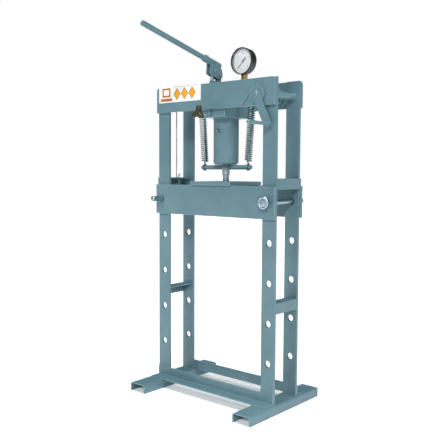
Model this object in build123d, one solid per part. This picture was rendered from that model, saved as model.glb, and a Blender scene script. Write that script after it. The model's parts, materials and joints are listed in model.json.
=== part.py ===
from build123d import *
import os
from math import atan, atan2, cos, degrees, hypot, pi, radians, sin, tan

os.makedirs("parts", exist_ok=True)

# Hydraulic H-frame shop press, hand pumped, with a winch for the bed.
# Frame of reference: X to the right, -Y to the operator, Z up, in millimetres.
# The origin is on the floor, straight below the ram's axis.

# Driving dimensions: uprights
POST_SPACING = 540.0        # between the centre lines of the left and right uprights
POST_WIDTH = 60.0
POST_THICKNESS = 10.0
POST_INNER_Y = 67.5         # inner faces of the front and rear uprights
POST_OUTER_Y = POST_INNER_Y + POST_THICKNESS
HOLE_PITCH = 150.0
HOLE_DIAMETER = 26.0
LOWEST_HOLE_Z = 186.0
HOLE_COUNT = 5

# Driving dimensions: base and bracing
SHEET = 4.0
FOOT_HEIGHT = 35.0
FOOT_WIDTH = 80.0
FOOT_FRONT_Y = -232.0
FOOT_REAR_Y = 212.0
FRAME_HALF_WIDTH = (POST_SPACING + POST_WIDTH) / 2
ANGLE_LONG = 50.0
ANGLE_SHORT = 40.0
BRACE_TOP_Z = 414.0
BOLT_GAP = 0.5

# Driving dimensions: head
FRAME_TOP_Z = 1237.0
BEAM_HEIGHT = 100.0
BEAM_THICKNESS = 12.0
BEAM_CORNER = 12.0
BEAM_FRONT_Y = -POST_OUTER_Y - BEAM_THICKNESS
HEAD_AXIS_Z = 1178.0        # tie bars, rope sheave and winch shaft share this height
TIE_BAR_DIAMETER = 25.0
RIGHT_TIE_X = POST_SPACING / 2
SHEAVE_X = -250.0
BLOCK_HALF_X = 56.0
BLOCK_BOTTOM_Z = 1107.0
BLOCK_TOP_Z = 1190.0

# Driving dimensions: cylinder and ram
TUBE_DIAMETER = 100.0
BORE_DIAMETER = 80.0
TUBE_BOTTOM_Z = 946.0
GLAND_BOTTOM_Z = 925.0
RAM_DIAMETER = 30.0
NOSE_DIAMETER = 24.0
NOSE_TOP_Z = 884.0
NOSE_TIP_Z = 856.0
PISTON_Z = 1062.0
PISTON_LENGTH = 34.0
SPRING_BAR_Z = 915.0
SPRING_BAR_DIAMETER = 18.0
SPRING_BAR_HALF = 128.0
SPRING_BOTTOM = (112.0, 934.0)
SPRING_TOP = (128.0, 1152.0)
SPRING_OUTER = 31.0
SPRING_WIRE = 5.0
HANGER_Z = 1165.0
RUNNING = 0.05              # radial clearance of a turning or sliding fit

# Driving dimensions: pump and lever
PUMP_X = -22.0
PLUNGER_Y = -62.0
PLUNGER_DIAMETER = 12.0
BARREL_TOP_Z = 1254.0
FULCRUM = (-25.0, 1273.0)   # Y and Z of the lever's fulcrum pin
CROSSHEAD = (-61.5, 1288.0)     # Y and Z of the plunger's pin
FULCRUM_PIN = 10.0
CROSSHEAD_PIN = 8.0
LUG_THICKNESS = 12.0
CHEEK_THICKNESS = 5.0
CHEEK_GAP = 13.0
HANDLE_END = (-428.0, 1407.4)
HANDLE_SLOPE = -atan(0.2408)            # the handle drops towards the rear
HANDLE_DIAMETER = 20.0
SOCKET_DIAMETER = 26.0
SOCKET_Y = (-108.0, -20.0)

# Driving dimensions: release valve, gauge and winch
VALVE_X = -15.0
VALVE_Z = 1119.0
KNOB_Y = -147.0
KNOB_REACH = 30.0
GAUGE_X = 48.0
GAUGE_STEM_Y = 52.0
GAUGE_Z = 1331.0
GAUGE_FACE_Y = 28.5
GAUGE_DIAMETER = 105.0      # over the bezel of a 100 mm gauge
WINCH_X = 222.0
SHAFT_DIAMETER = 20.0
CRANK_ANGLE = 25.4          # of the crank from straight down, towards +X
CRANK_REACH = 120.0
RATCHET_RADIUS = 37.5
RATCHET_TEETH = 16
PAWL_PIVOT = (152.0, 1149.0)
PAWL_LIFT = 7.0             # degrees the pawl is drawn above the teeth it drops into
CUT = 1.0                   # how far a cutting shape runs past the face it cuts
ROPE_DIAMETER = 5.0
ROPE_RADIUS = 24.0          # of the rope's centre on the sheave and on the drum
ROPE_CLEARANCE = 0.3        # between the run of rope and what turns under it
ROPE_SEAT = 2 * ROPE_RADIUS - ROPE_DIAMETER - 2 * ROPE_CLEARANCE     # diameter under the rope
ROPE_X = SHEAVE_X - ROPE_RADIUS
ROPE_TAIL_X = ROPE_X + 12.0     # the end comes back up beside the rope
ROPE_DRUM_Y = 10.0
DRUM_Y = (-42.0, 18.0)

# Driving dimensions: bed and its pins
BED_TOP_Z = 844.0
BED_HEIGHT = 120.0
BED_THICKNESS = 12.0
BED_HALF = 305.0
BED_INNER_Y = POST_OUTER_Y + BOLT_GAP
BED_PIN_Z = LOWEST_HOLE_Z + (HOLE_COUNT - 1) * HOLE_PITCH
BED_HOLE_DIAMETER = 24.0
PIN_DIAMETER = 22.0
PIN_LENGTH = 250.0
PIN_RING = 19.0
PIN_RING_WIRE = 10.0
END_BAR_TOP_Z = 873.0
PRESS_PLATE = (100.0, 200.0, 15.0)
NOTCH_RADIUS = 18.0

# Label
LABEL_X = (-286.0, -55.5)
LABEL_BOTTOM_Z = 1176.0


def save(node, shape):
    """Write one sub-part to its STEP file."""
    shape.label = node
    export_step(shape, f"parts/{node}.step")


def block(x, y, z):
    """A box from three (low, high) pairs."""
    size = [high - low for low, high in (x, y, z)]
    middle = [(high + low) / 2 for low, high in (x, y, z)]
    return Pos(*middle) * Box(*size)


def rod_x(diameter, x, y, z):
    return Pos((x[0] + x[1]) / 2, y, z) * Rot(0, 90, 0) * Cylinder(diameter / 2, x[1] - x[0])


def rod_y(diameter, x, y, z):
    return Pos(x, (y[0] + y[1]) / 2, z) * Rot(90, 0, 0) * Cylinder(diameter / 2, y[1] - y[0])


def rod_z(diameter, x, y, z):
    return Pos(x, y, (z[0] + z[1]) / 2) * Cylinder(diameter / 2, z[1] - z[0])


def ring_y(outer, inner, x, y, z):
    return rod_y(outer, x, y, z) - rod_y(inner, x, y, z)


def hexagon_z(across_flats, x, y, z):
    outline = RegularPolygon(across_flats / 2, 6, major_radius=False)
    return extrude(Pos(x, y, z[0]) * outline, z[1] - z[0])


def front_plane(y):
    """A sketch plane facing the operator: its x is X and its y is Z."""
    return Plane(origin=(0, y, 0), x_dir=(1, 0, 0), z_dir=(0, -1, 0))


def side_plane(x):
    """A sketch plane facing +X: its x is Y and its y is Z."""
    return Plane(origin=(x, 0, 0), x_dir=(0, 1, 0), z_dir=(1, 0, 0))


def make_feet():
    """Two feet: sheet folded to a channel that is open below, with rounded bends."""
    for side, name in ((-1, "foot_left"), (1, "foot_right")):
        centre = side * POST_SPACING / 2
        half = FOOT_WIDTH / 2
        foot = block((centre - half, centre + half), (FOOT_FRONT_Y, FOOT_REAR_Y), (0, FOOT_HEIGHT))
        foot = fillet(foot.edges().filter_by(Axis.Y).group_by(Axis.Z)[-1], 2 * SHEET)
        inside = half - SHEET
        hollow = block((centre - inside, centre + inside), (FOOT_FRONT_Y - CUT, FOOT_REAR_Y + CUT),
                       (-SHEET, FOOT_HEIGHT - SHEET))
        hollow = fillet(hollow.edges().filter_by(Axis.Y).group_by(Axis.Z)[-1], SHEET)
        save(name, foot - hollow)


def make_sills():
    """Front and rear sills: angles that tie the uprights to both feet."""
    for side, name in ((-1, "sill_front"), (1, "sill_rear")):
        inner = side * POST_OUTER_Y
        upright = sorted((inner, inner + side * SHEET))
        ledge = sorted((inner, inner + side * ANGLE_LONG))
        width = (-FRAME_HALF_WIDTH, FRAME_HALF_WIDTH)
        sill = block(width, upright, (FOOT_HEIGHT, FOOT_HEIGHT + ANGLE_SHORT))
        sill += block(width, ledge, (FOOT_HEIGHT, FOOT_HEIGHT + SHEET))
        save(name, sill)


def make_posts():
    """Four flat uprights with a row of holes for the bed's pins."""
    for side_x, word_x in ((-1, "left"), (1, "right")):
        for side_y, word_y in ((-1, "front"), (1, "rear")):
            centre = side_x * POST_SPACING / 2
            faces = sorted((side_y * POST_INNER_Y, side_y * POST_OUTER_Y))
            post = block((centre - POST_WIDTH / 2, centre + POST_WIDTH / 2), faces,
                         (FOOT_HEIGHT, FRAME_TOP_Z))
            for number in range(HOLE_COUNT):
                height = LOWEST_HOLE_Z + number * HOLE_PITCH
                post -= rod_y(HOLE_DIAMETER, centre, (faces[0] - CUT, faces[1] + CUT), height)
            save(f"post_{word_y}_{word_x}", post)


def make_side_braces():
    """An angle at knee height on each side, between the front and rear uprights."""
    for side, name in ((-1, "side_brace_left"), (1, "side_brace_right")):
        outer = side * FRAME_HALF_WIDTH
        depth = (-POST_INNER_Y, POST_INNER_Y)
        brace = block(sorted((outer, outer - side * SHEET)), depth,
                      (BRACE_TOP_Z - ANGLE_SHORT, BRACE_TOP_Z))
        brace += block(sorted((outer, outer - side * ANGLE_LONG)), depth,
                       (BRACE_TOP_Z - SHEET, BRACE_TOP_Z))
        save(name, brace)


def make_head_beams():
    """Two flat beams outside the uprights, bored for the winch shaft."""
    for side, name in ((-1, "head_beam_front"), (1, "head_beam_rear")):
        faces = sorted((side * POST_OUTER_Y, side * (POST_OUTER_Y + BEAM_THICKNESS)))
        beam = block((-FRAME_HALF_WIDTH, FRAME_HALF_WIDTH), faces,
                     (FRAME_TOP_Z - BEAM_HEIGHT, FRAME_TOP_Z))
        beam = fillet(beam.edges().filter_by(Axis.Y).group_by(Axis.Z)[-1], BEAM_CORNER)
        beam -= rod_y(SHAFT_DIAMETER + 2 * RUNNING, WINCH_X, (faces[0] - CUT, faces[1] + CUT), HEAD_AXIS_Z)
        save(name, beam)


def make_tie_bars():
    """Round bars welded between the uprights; the left one carries the rope sheave."""
    depth = (-POST_INNER_Y, POST_INNER_Y)
    bars = [rod_y(TIE_BAR_DIAMETER, x, depth, HEAD_AXIS_Z) for x in (SHEAVE_X, RIGHT_TIE_X)]
    save("tie_bars", Compound(children=bars))


def make_head_block():
    """The oil reservoir and valve block, welded between the head beams."""
    wall = 12.0
    floor_z = BLOCK_BOTTOM_Z + 28.0
    tank_front_y = -14.0
    head = block((-BLOCK_HALF_X, BLOCK_HALF_X), (-POST_OUTER_Y, POST_OUTER_Y),
                 (BLOCK_BOTTOM_Z, BLOCK_TOP_Z))
    tank = block((-BLOCK_HALF_X + wall, BLOCK_HALF_X - wall), (tank_front_y, POST_OUTER_Y - wall),
                 (floor_z, BLOCK_TOP_Z - wall))
    save("head_block", head - tank)


def make_cylinder():
    """The tube, the gland nut that closes it, and its bleed screw."""
    face = -TUBE_DIAMETER / 2
    screw_z = 1056.0
    thread_diameter, thread_length = 6.0, 8.0
    tube = rod_z(TUBE_DIAMETER, 0, 0, (TUBE_BOTTOM_Z, BLOCK_BOTTOM_Z))
    tube -= rod_z(BORE_DIAMETER, 0, 0, (TUBE_BOTTOM_Z - CUT, BLOCK_BOTTOM_Z + CUT))
    tube -= rod_y(thread_diameter, 0, (face - CUT, -BORE_DIAMETER / 2 + 2 * CUT), screw_z)
    save("cylinder_tube", tube)

    spigot_top_z = TUBE_BOTTOM_Z + 18.0
    gland = rod_z(TUBE_DIAMETER, 0, 0, (GLAND_BOTTOM_Z, TUBE_BOTTOM_Z))
    gland = chamfer(gland.edges().group_by(Axis.Z)[0], 6.0)
    gland += rod_z(BORE_DIAMETER, 0, 0, (TUBE_BOTTOM_Z, spigot_top_z))
    gland -= rod_z(RAM_DIAMETER + 2 * RUNNING, 0, 0, (GLAND_BOTTOM_Z - CUT, spigot_top_z + CUT))
    save("cylinder_gland", gland)

    head_diameter, head_height, head_seat = 11.0, 5.0, 0.6
    slot_width, slot_depth, slot_length = 1.6, 1.4, 9.0
    screw = rod_y(head_diameter, 0, (face - head_height, face + head_seat), screw_z)
    screw -= rod_z(TUBE_DIAMETER, 0, 0, (screw_z - head_diameter, screw_z + head_diameter))
    screw += rod_y(thread_diameter, 0, (face, face + thread_length), screw_z)
    slot = block((-slot_length / 2, slot_length / 2),
                 (face - head_height - CUT, face - head_height + slot_depth),
                 (screw_z - slot_width / 2, screw_z + slot_width / 2))
    save("bleed_screw", screw - slot)


def make_ram():
    """Piston, ram with its stepped nose, and the bar that the return springs pull on."""
    spigot = 20.0
    piston_top_z = PISTON_Z + PISTON_LENGTH
    piston = rod_z(BORE_DIAMETER - 2 * RUNNING, 0, 0, (PISTON_Z, piston_top_z))
    piston -= rod_z(spigot, 0, 0, (PISTON_Z - CUT, piston_top_z + CUT))
    save("piston", chamfer(piston.edges().filter_by(GeomType.CIRCLE).sort_by(SortBy.LENGTH)[-2:], 1.0))

    shoulder, nose_chamfer = 2.0, 1.5
    ram = rod_z(RAM_DIAMETER, 0, 0, (NOSE_TOP_Z, PISTON_Z))
    ram += rod_z(spigot, 0, 0, (PISTON_Z, piston_top_z))
    ram = chamfer(ram.edges().group_by(Axis.Z)[0], shoulder)
    nose = rod_z(NOSE_DIAMETER, 0, 0, (NOSE_TIP_Z, NOSE_TOP_Z))
    ram += chamfer(nose.edges().group_by(Axis.Z)[0], nose_chamfer)
    save("ram", ram)

    boss_diameter, boss_half, boss_chamfer = 46.0, 9.0, 2.5
    end_rounding = 0.3 * SPRING_BAR_DIAMETER
    bar = rod_x(SPRING_BAR_DIAMETER, (-SPRING_BAR_HALF, SPRING_BAR_HALF), 0, SPRING_BAR_Z)
    bar = fillet(bar.edges(), end_rounding)
    boss = rod_z(boss_diameter, 0, 0, (SPRING_BAR_Z - boss_half, SPRING_BAR_Z + boss_half))
    bar += chamfer(boss.edges(), boss_chamfer)
    bar -= rod_z(RAM_DIAMETER, 0, 0, (SPRING_BAR_Z - boss_half - CUT, SPRING_BAR_Z + boss_half + CUT))
    save("spring_bar", bar)


def make_return_springs():
    """Two tension springs, as plain sleeves of the coils' size, and their upper hangers."""
    lean = degrees(atan2(SPRING_TOP[0] - SPRING_BOTTOM[0], SPRING_TOP[1] - SPRING_BOTTOM[1]))
    length = hypot(SPRING_TOP[0] - SPRING_BOTTOM[0], SPRING_TOP[1] - SPRING_BOTTOM[1])
    middle_x = (SPRING_TOP[0] + SPRING_BOTTOM[0]) / 2
    middle_z = (SPRING_TOP[1] + SPRING_BOTTOM[1]) / 2
    for side, name in ((-1, "return_spring_left"), (1, "return_spring_right")):
        coil = Cylinder(SPRING_OUTER / 2, length)
        coil -= Cylinder(SPRING_OUTER / 2 - SPRING_WIRE, length + 2 * CUT)
        save(name, Pos(side * middle_x, 0, middle_z) * Rot(0, side * lean, 0) * coil)
    hanger_diameter = 12.0
    hanger_end_x = SPRING_TOP[0] + hanger_diameter
    hangers = [rod_x(hanger_diameter, sorted((side * BLOCK_HALF_X, side * hanger_end_x)), 0, HANGER_Z)
               for side in (-1, 1)]
    save("spring_hangers", Compound(children=hangers))


def make_pump():
    """Pump barrel on the head block, the plunger in it, and the fulcrum lug."""
    hexagon, hexagon_height, hexagon_shift = 30.0, 22.0, 1.5
    barrel_diameter, bore_floor = 16.0, 8.0
    collar_diameter, collar_z = 22.0, (1243.0, 1248.0)
    barrel = hexagon_z(hexagon, PUMP_X, PLUNGER_Y + hexagon_shift, (BLOCK_TOP_Z, BLOCK_TOP_Z + hexagon_height))
    barrel += rod_z(barrel_diameter, PUMP_X, PLUNGER_Y, (BLOCK_TOP_Z, BARREL_TOP_Z))
    barrel += rod_z(collar_diameter, PUMP_X, PLUNGER_Y, collar_z)
    barrel -= rod_z(PLUNGER_DIAMETER + 2 * RUNNING, PUMP_X, PLUNGER_Y,
                    (BLOCK_TOP_Z + bore_floor, BARREL_TOP_Z + CUT))
    save("pump_barrel", barrel)

    pin_y, pin_z = CROSSHEAD
    head_low, head_high = pin_z - 11.0, pin_z + 12.0
    plunger_toe_z = BLOCK_TOP_Z + 18.0
    plunger = rod_z(PLUNGER_DIAMETER, PUMP_X, PLUNGER_Y, (plunger_toe_z, head_low))
    head = block((PUMP_X - PLUNGER_DIAMETER / 2, PUMP_X + PLUNGER_DIAMETER / 2),
                 (pin_y - 12.0, pin_y + 20.0), (head_low, head_high))
    head = fillet(head.edges().filter_by(Axis.X), 4.0)
    slot = block((PUMP_X - PLUNGER_DIAMETER / 2 - CUT, PUMP_X + PLUNGER_DIAMETER / 2 + CUT),
                 (pin_y - 7.5, pin_y + 15.0), (pin_z - 7.0, pin_z + 5.5))
    slot = fillet(slot.edges().filter_by(Axis.X), 5.5)
    save("pump_plunger", plunger + head - slot)

    pivot_y, pivot_z = FULCRUM
    lug_half, lug_heel, lug_shoulder_z = 14.0, 6.0, 1250.0
    lug_x = (PUMP_X - LUG_THICKNESS / 2, PUMP_X + LUG_THICKNESS / 2)
    eye_diameter = 24.0
    profile = Polyline((pivot_y - lug_half - lug_heel, BLOCK_TOP_Z), (pivot_y + lug_half, BLOCK_TOP_Z),
                       (pivot_y + lug_half, lug_shoulder_z), (pivot_y - lug_half - 2, lug_shoulder_z),
                       close=True)
    lug = extrude(side_plane(lug_x[0]) * make_face(profile), LUG_THICKNESS)
    neck = block(lug_x, (pivot_y - eye_diameter / 2, pivot_y + eye_diameter / 2),
                 (lug_shoulder_z - 2 * CUT, pivot_z))
    eye = rod_x(eye_diameter, lug_x, pivot_y, pivot_z)
    hole = rod_x(FULCRUM_PIN + 2 * RUNNING, (lug_x[0] - CUT, lug_x[1] + CUT), pivot_y, pivot_z)
    save("fulcrum_lug", lug + neck + eye - hole)


def lever_axis(y):
    """Height of the handle's centre line at a distance y from the ram's plane."""
    return HANDLE_END[1] + (y - HANDLE_END[0]) * tan(HANDLE_SLOPE)


def along_handle(diameter, y):
    """A rod on the handle's centre line between two Y stations."""
    start = (PUMP_X, y[0], lever_axis(y[0]))
    length = (y[1] - y[0]) / cos(HANDLE_SLOPE)
    plane = Plane(origin=start, x_dir=(1, 0, 0), z_dir=(0, cos(HANDLE_SLOPE), sin(HANDLE_SLOPE)))
    return plane * Cylinder(diameter / 2, length, align=(Align.CENTER, Align.CENTER, Align.MIN))


def make_lever():
    """Lever cheeks, handle socket, handle tube, clamping screw and the two pins."""
    socket_floor = 8.0
    socket = along_handle(SOCKET_DIAMETER, SOCKET_Y)
    socket -= along_handle(HANDLE_DIAMETER, (SOCKET_Y[0] - CUT, SOCKET_Y[1] - socket_floor))
    screw_y = SOCKET_Y[0] + 14.0
    thread_radius, thread_length = 3.0, 5.0
    screw_hexagon, screw_height = 10.0, 4.5
    grown = (Align.CENTER, Align.CENTER, Align.MIN)
    axis = Plane(origin=(PUMP_X, screw_y, lever_axis(screw_y)), x_dir=(1, 0, 0),
                 z_dir=(0, -sin(HANDLE_SLOPE), cos(HANDLE_SLOPE)))
    thread = axis * Pos(0, 0, HANDLE_DIAMETER / 2) * Cylinder(thread_radius, thread_length, align=grown)
    save("lever_socket", socket - thread)
    screw_outline = RegularPolygon(screw_hexagon / 2, 6, major_radius=False)
    save("handle_screw", thread + axis * Pos(0, 0, SOCKET_DIAMETER / 2) * extrude(screw_outline, screw_height))

    outline = [(-84.5, 1274.0), (-49.0, 1261.0), (-30.0, 1258.0), (-17.0, 1261.5), (-11.0, 1272.0),
               (-14.0, 1292.0), (-28.0, 1312.0), (-80.0, 1325.0)]
    cheek = make_face(Polyline(*outline, close=True))
    past_socket = 20.0
    outside = CHEEK_GAP / 2 + CHEEK_THICKNESS
    across = (PUMP_X - outside - CUT, PUMP_X + outside + CUT)
    cheeks = []
    for offset in (-outside, CHEEK_GAP / 2):
        plate = extrude(side_plane(PUMP_X + offset) * cheek, CHEEK_THICKNESS)
        plate = plate - along_handle(SOCKET_DIAMETER, (SOCKET_Y[0] - past_socket, SOCKET_Y[1] + past_socket))
        lower = plate.solids().sort_by(Axis.Z)[0]
        for centre, diameter in ((FULCRUM, FULCRUM_PIN), (CROSSHEAD, CROSSHEAD_PIN)):
            lower -= rod_x(diameter, across, *centre)
        cheeks.append(lower)
    save("lever_cheeks", Compound(children=cheeks))
    save("pump_handle", make_handle(socket_floor))

    pins = (("fulcrum_pin", FULCRUM, FULCRUM_PIN, 3.0, (15.0, 4.0), (14.0, 2.5)),
            ("crosshead_pin", CROSSHEAD, CROSSHEAD_PIN, 2.0, (12.0, 3.0), (11.0, 2.0)))
    for name, centre, diameter, past, (head, head_height), (clip, clip_height) in pins:
        pin = rod_x(diameter, (PUMP_X - outside - 3.0, PUMP_X + outside + past), *centre)
        pin += rod_x(head, (PUMP_X + outside, PUMP_X + outside + head_height), *centre)
        pin += rod_x(clip, (PUMP_X - outside - clip_height, PUMP_X - outside), *centre)
        save(name, pin)


def make_handle(socket_floor):
    """The handle: a plain tube, 2 mm wall, capped and lightly rounded at its end."""
    wall, cap, end_rounding, free = 2.0, 3.0, 1.5, 1.0
    tube_end_y = SOCKET_Y[1] - socket_floor - free
    tube = along_handle(HANDLE_DIAMETER, (HANDLE_END[0], tube_end_y))
    tube = fillet(tube.edges().filter_by(GeomType.CIRCLE).sort_by(Axis.Y)[0], end_rounding)
    return tube - along_handle(HANDLE_DIAMETER - 2 * wall, (HANDLE_END[0] + cap, tube_end_y + CUT))


def make_release_valve():
    """Valve gland, stem and three-lobed knob under the front beam."""
    collar, collar_length = 17.0, 8.0
    nut, nut_length = 19.0, 10.0
    stem_diameter, seat = 12.0, 4.0
    nut_rear_y = -POST_OUTER_Y - collar_length
    gland = rod_y(collar, VALVE_X, (nut_rear_y, -POST_OUTER_Y), VALVE_Z)
    nut_outline = RegularPolygon(nut / 2, 6, major_radius=False)
    gland += extrude(front_plane(nut_rear_y) * Pos(VALVE_X, VALVE_Z) * nut_outline, nut_length)
    gland -= rod_y(stem_diameter + 2 * RUNNING, VALVE_X,
                   (nut_rear_y - nut_length - CUT, -POST_OUTER_Y - seat + CUT), VALVE_Z)
    save("valve_gland", gland)

    stem_front_y = KNOB_Y - 3.0
    save("valve_stem", rod_y(stem_diameter, VALVE_X, (stem_front_y, -POST_OUTER_Y - seat), VALVE_Z))

    lobe_radius, hub_radius, web_width = 9.5, 14.0, 16.15
    knob_front_y, knob_rear_y = KNOB_Y - 11.0, KNOB_Y + 8.0
    knob_collar, collar_rear_y = 22.0, KNOB_Y + 16.0
    reach = KNOB_REACH - lobe_radius
    profile = Circle(hub_radius)
    for angle in (80, 200, 320):
        profile += Pos(reach * cos(radians(angle)), reach * sin(radians(angle))) * Circle(lobe_radius)
        profile += Rot(0, 0, angle) * Pos(reach / 2, 0) * Rectangle(reach, web_width)
    knob = extrude(front_plane(knob_rear_y) * Pos(VALVE_X, VALVE_Z) * profile, knob_rear_y - knob_front_y)
    knob = fillet(knob.edges().group_by(Axis.Y)[0], 3.0)
    knob += rod_y(knob_collar, VALVE_X, (knob_rear_y, collar_rear_y), VALVE_Z)
    knob -= rod_y(stem_diameter, VALVE_X, (stem_front_y, collar_rear_y + CUT), VALVE_Z)
    save("release_knob", knob)


def make_gauge():
    """Pressure gauge: adapter, case, bezel, dial, glass and pointer."""
    radius = GAUGE_DIAMETER / 2
    case_radius = radius - 2.0
    inner_radius = case_radius - 1.2
    rim_y = (GAUGE_FACE_Y, GAUGE_FACE_Y + 12.0)
    lens_y = (GAUGE_FACE_Y + 4.0, GAUGE_FACE_Y + 7.0)
    needle_y = GAUGE_FACE_Y + 13.4
    dial_y = (GAUGE_FACE_Y + 15.0, GAUGE_FACE_Y + 16.2)
    back_y = GAUGE_FACE_Y + 41.0
    back_wall, back_rounding = 4.0, 4.0

    hexagon, hexagon_height, neck, stem = 24.0, 16.0, 14.0, 16.0
    upper_hexagon_z = 1258.0
    case_bottom = GAUGE_Z - case_radius
    adapter = hexagon_z(hexagon, GAUGE_X, GAUGE_STEM_Y, (BLOCK_TOP_Z, BLOCK_TOP_Z + hexagon_height))
    adapter += rod_z(neck, GAUGE_X, GAUGE_STEM_Y, (BLOCK_TOP_Z + hexagon_height, upper_hexagon_z))
    adapter += hexagon_z(hexagon, GAUGE_X, GAUGE_STEM_Y, (upper_hexagon_z, case_bottom - CUT))
    adapter += rod_z(stem, GAUGE_X, GAUGE_STEM_Y, (case_bottom - CUT, case_bottom + back_wall))
    adapter -= rod_y(2 * case_radius, GAUGE_X, (GAUGE_FACE_Y, back_y + back_wall), GAUGE_Z)
    save("gauge_adapter", adapter - rod_y(2 * radius, GAUGE_X, rim_y, GAUGE_Z))
    case = rod_y(2 * case_radius, GAUGE_X, (lens_y[0], back_y), GAUGE_Z)
    case = fillet(case.edges().filter_by(GeomType.CIRCLE).sort_by(Axis.Y)[-1], back_rounding)
    save("gauge_case", case - rod_y(2 * inner_radius, GAUGE_X, (GAUGE_FACE_Y, back_y - back_wall), GAUGE_Z))

    lip = 3.8
    bezel = ring_y(2 * radius, 2 * case_radius, GAUGE_X, rim_y, GAUGE_Z)
    bezel += ring_y(2 * radius, 2 * (radius - lip), GAUGE_X, (GAUGE_FACE_Y, lens_y[0]), GAUGE_Z)
    front_circles = bezel.edges().filter_by(GeomType.CIRCLE).group_by(Axis.Y)[0]
    save("gauge_bezel", fillet(front_circles.sort_by(SortBy.LENGTH)[-1], 2.0))

    lens_play = 0.2
    save("gauge_lens", rod_y(2 * (inner_radius - lens_play), GAUGE_X, lens_y, GAUGE_Z))
    spindle, hub, hub_front_y, spindle_end_y = 4.0, 9.0, GAUGE_FACE_Y + 11.6, GAUGE_FACE_Y + 20.0
    dial = rod_y(2 * inner_radius, GAUGE_X, dial_y, GAUGE_Z)
    dial -= rod_y(spindle + 2 * RUNNING, GAUGE_X, (dial_y[0] - CUT, dial_y[1] + CUT), GAUGE_Z)
    save("gauge_dial", dial)

    zero = -135.0
    blade_thickness = 0.8
    plane = front_plane(needle_y) * Pos(GAUGE_X, GAUGE_Z) * Rot(0, 0, zero)
    blade = make_face(Polyline((0, -1.8), (36.0, -0.6), (36.0, 0.6), (0, 1.8), (-18.0, 2.8), (-18.0, -2.8),
                               close=True))
    needle = extrude(plane * blade, blade_thickness)
    needle += rod_y(hub, GAUGE_X, (hub_front_y, needle_y + 0.2), GAUGE_Z)
    needle += rod_y(spindle, GAUGE_X, (needle_y - blade_thickness, spindle_end_y), GAUGE_Z)
    save("gauge_needle", needle)


def ratchet_profile():
    """Saw-toothed outline, in the wheel's own plane."""
    tooth_depth, face_lean = 5.0, 2.0
    step = 360 / RATCHET_TEETH
    points = []
    for tooth in range(RATCHET_TEETH):
        tip = radians(tooth * step)
        root = radians(tooth * step + face_lean)
        points.append((RATCHET_RADIUS * cos(tip), RATCHET_RADIUS * sin(tip)))
        points.append(((RATCHET_RADIUS - tooth_depth) * cos(root), (RATCHET_RADIUS - tooth_depth) * sin(root)))
    return make_face(Polyline(*points, close=True))


def make_winch():
    """Winch shaft with crank, grip, ratchet wheel, pawl and rope drum."""
    rear_end = POST_OUTER_Y + BEAM_THICKNESS + 9.0
    wheel_y = (BEAM_FRONT_Y - 6.0, BEAM_FRONT_Y - 1.0)
    arm_y = (BEAM_FRONT_Y - 13.0, BEAM_FRONT_Y - 7.0)
    shaft_front_y = arm_y[0] - 4.0
    collar, collar_y = 28.0, (rear_end - 7.5, rear_end - 1.5)
    shaft = rod_y(SHAFT_DIAMETER, WINCH_X, (shaft_front_y, rear_end), HEAD_AXIS_Z)
    shaft += rod_y(collar, WINCH_X, collar_y, HEAD_AXIS_Z)
    save("winch_shaft", shaft)

    arm_width, past_shaft, past_grip, corner = 30.0, 14.0, 11.0, 3.0
    grip_diameter, spigot, grip_front_y, grip_rounding = 13.0, 10.0, -213.0, 3.0
    grip_x = WINCH_X + CRANK_REACH * sin(radians(CRANK_ANGLE))
    grip_z = HEAD_AXIS_Z - CRANK_REACH * cos(radians(CRANK_ANGLE))
    arm_length = past_shaft + CRANK_REACH + past_grip
    outline = Pos(WINCH_X, HEAD_AXIS_Z) * Rot(0, 0, CRANK_ANGLE - 90) * Pos(
        arm_length / 2 - past_shaft, 0) * RectangleRounded(arm_length, arm_width, corner)
    arm = extrude(front_plane(arm_y[1]) * outline, arm_y[1] - arm_y[0])
    through_arm = (arm_y[0] - CUT, arm_y[1] + CUT)
    arm -= rod_y(SHAFT_DIAMETER, WINCH_X, through_arm, HEAD_AXIS_Z)
    arm -= rod_y(spigot, grip_x, through_arm, grip_z)
    save("crank_arm", arm)

    grip = rod_y(grip_diameter, grip_x, (grip_front_y, arm_y[0]), grip_z)
    grip = fillet(grip.edges().filter_by(GeomType.CIRCLE).sort_by(Axis.Y)[0], grip_rounding)
    save("crank_grip", grip + rod_y(spigot, grip_x, arm_y, grip_z))

    plane = front_plane(wheel_y[1]) * Pos(WINCH_X, HEAD_AXIS_Z)
    wheel = extrude(plane * ratchet_profile(), wheel_y[1] - wheel_y[0])
    wheel -= rod_y(SHAFT_DIAMETER, WINCH_X, (wheel_y[0] - CUT, wheel_y[1] + CUT), HEAD_AXIS_Z)
    save("ratchet_wheel", wheel)

    make_pawl((BEAM_FRONT_Y - 6.0, BEAM_FRONT_Y - 1.5))

    flange, flange_thickness = 68.0, 4.0
    drum = rod_y(ROPE_SEAT, WINCH_X, DRUM_Y, HEAD_AXIS_Z)
    for face in (DRUM_Y[0], DRUM_Y[1] - flange_thickness):
        drum += rod_y(flange, WINCH_X, (face, face + flange_thickness), HEAD_AXIS_Z)
    save("rope_drum", drum - rod_y(SHAFT_DIAMETER, WINCH_X, (DRUM_Y[0] - CUT, DRUM_Y[1] + CUT), HEAD_AXIS_Z))


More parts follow.
